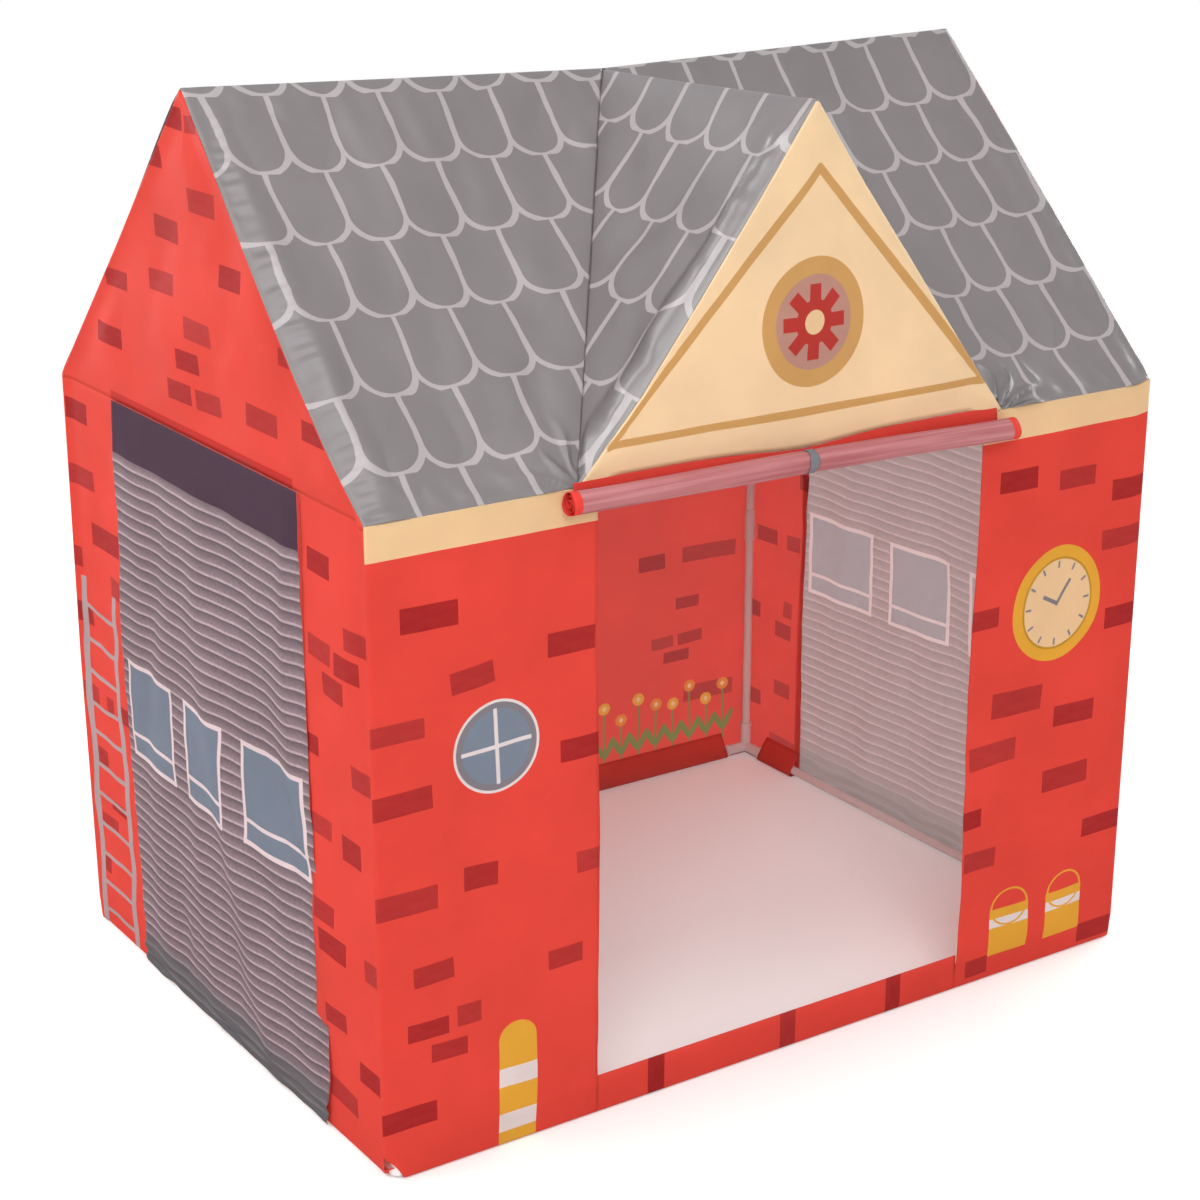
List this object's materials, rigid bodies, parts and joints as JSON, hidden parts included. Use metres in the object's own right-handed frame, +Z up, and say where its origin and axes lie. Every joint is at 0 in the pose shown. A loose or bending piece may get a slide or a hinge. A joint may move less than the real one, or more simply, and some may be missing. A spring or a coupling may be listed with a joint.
{
  "type": "play tent",
  "caption": "Fire station play tent: printed cloth house on a frame of push-fit plastic tubes, with a front dormer, a rolled up front door and a loose curtain at each end.",
  "frame": {"origin": "on the floor, at the middle of the box round the whole tent", "axes": "+Z up, the front doorway and dormer face -Y, +X runs along the house to the right"},
  "size_m": [1.0684, 0.7808, 1.0709],
  "materials": {
    "white_plastic": "smooth white tube",
    "red_cloth": "thin printed polyester",
    "cream_cloth": "thin printed polyester",
    "roof_cloth": "satin grey polyester",
    "shutter_cloth": "thin printed polyester",
    "door_cloth": "pale unprinted side of the red polyester",
    "tie_cloth": "grey polyester band"
  },
  "bodies": {
    "house": {"base_rail_front": "white_plastic", "base_rail_back": "white_plastic", "base_rail_left": "white_plastic", "base_rail_right": "white_plastic", "eave_rail_front": "white_plastic", "eave_rail_back": "white_plastic", "eave_bar_left": "white_plastic", "eave_bar_right": "white_plastic", "rafter_front_left": "white_plastic", "rafter_front_right": "white_plastic", "rafter_back_left": "white_plastic", "rafter_back_right": "white_plastic", "ridge_pole_left": "white_plastic", "ridge_pole_right": "white_plastic", "dormer_ridge_pole": "white_plastic", "dormer_rafter_left": "white_plastic", "dormer_rafter_right": "white_plastic", "post_front_left_lower": "white_plastic", "post_front_left_upper": "white_plastic", "post_front_right_lower": "white_plastic", "post_front_right_upper": "white_plastic", "post_back_left_lower": "white_plastic", "post_back_left_upper": "white_plastic", "post_back_right_lower": "white_plastic", "post_back_right_upper": "white_plastic", "ridge_end_left": "white_plastic", "ridge_end_right": "white_plastic", "ridge_centre": "white_plastic", "dormer_apex": "white_plastic", "dormer_foot_left": "white_plastic", "dormer_foot_right": "white_plastic", "base_corner_front_left": "white_plastic", "eave_corner_front_left": "white_plastic", "base_corner_front_right": "white_plastic", "eave_corner_front_right": "white_plastic", "base_corner_back_left": "white_plastic", "eave_corner_back_left": "white_plastic", "base_corner_back_right": "white_plastic", "eave_corner_back_right": "white_plastic", "front_left_panel": "red_cloth", "front_right_panel": "red_cloth", "front_sill": "red_cloth", "back_wall": "red_cloth", "left_gable": "red_cloth", "right_gable": "red_cloth", "left_end_front_strip": "red_cloth", "left_end_back_strip": "red_cloth", "right_end_front_strip": "red_cloth", "right_end_back_strip": "red_cloth", "door_head_strip": "red_cloth", "roof_front_left": "roof_cloth", "roof_front_right": "roof_cloth", "roof_back": "roof_cloth", "dormer_roof_left": "roof_cloth", "dormer_roof_right": "roof_cloth", "pediment": "cream_cloth", "roll_tie": "tie_cloth"},
    "left_curtain": {"left_curtain": "shutter_cloth"},
    "right_curtain": {"right_curtain": "shutter_cloth"},
    "door": {"door_roll": "door_cloth"}
  },
  "joints": [
    {"name": "left_curtain_swing", "type": "hinge", "parent": "house", "child": "left_curtain", "pos_m": [-0.5095, 0.01244, 0.7012], "axis": [0, 1, 0], "range_deg": [0, 85]},
    {"name": "right_curtain_swing", "type": "hinge", "parent": "house", "child": "right_curtain", "pos_m": [0.5095, 0.01244, 0.7012], "axis": [0, -1, 0], "range_deg": [0, 85]},
    {"name": "door_unroll", "type": "slide", "parent": "house", "child": "door", "axis": [0, 0, -1], "range_m": [0, 0.667], "deforming": ["door_head_strip", "roll_tie"]}
  ]
}
